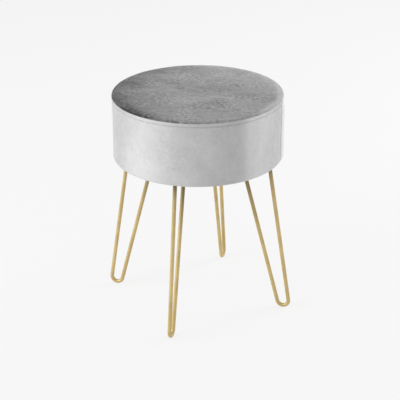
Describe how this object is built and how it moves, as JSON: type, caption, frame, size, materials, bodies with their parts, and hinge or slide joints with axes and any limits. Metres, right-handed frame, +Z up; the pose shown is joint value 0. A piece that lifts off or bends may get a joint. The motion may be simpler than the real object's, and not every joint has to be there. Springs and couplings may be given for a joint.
{
  "type": "round footstool",
  "caption": "Round drum footstool with a crowned velvet seat on splayed hairpin legs of bent gold rod, bolted by plates under a plywood base.",
  "frame": {"origin": "on the floor, on the upright axis of the round seat, under the middle of the stool", "axes": "+Z up; the four legs stand on +X (right), +Y (back), -X (left) and -Y (front)"},
  "size_m": [0.3508, 0.3508, 0.401],
  "materials": {
    "velvet_top": "matte",
    "velvet_band": "matte",
    "wadding": "matte",
    "foam": "matte",
    "plywood": "matte",
    "dust_cloth": "matte",
    "gold_metal": "satin",
    "zinc_steel": "satin"
  },
  "bodies": {
    "root": {"seat_top_panel": "velvet_top", "seat_side_band": "velvet_band", "wadding_pad": "wadding", "foam_core": "foam", "edge_foam_strip": "foam", "base_board": "plywood", "dust_cover": "dust_cloth", "insert_nuts": "zinc_steel", "leg_plate_front": "gold_metal", "leg_rod_front": "gold_metal", "leg_welds_front": "gold_metal", "leg_bolts_front": "zinc_steel", "leg_plate_right": "gold_metal", "leg_rod_right": "gold_metal", "leg_welds_right": "gold_metal", "leg_bolts_right": "zinc_steel", "leg_plate_back": "gold_metal", "leg_rod_back": "gold_metal", "leg_welds_back": "gold_metal", "leg_bolts_back": "zinc_steel", "leg_plate_left": "gold_metal", "leg_rod_left": "gold_metal", "leg_welds_left": "gold_metal", "leg_bolts_left": "zinc_steel"}
  },
  "joints": []
}
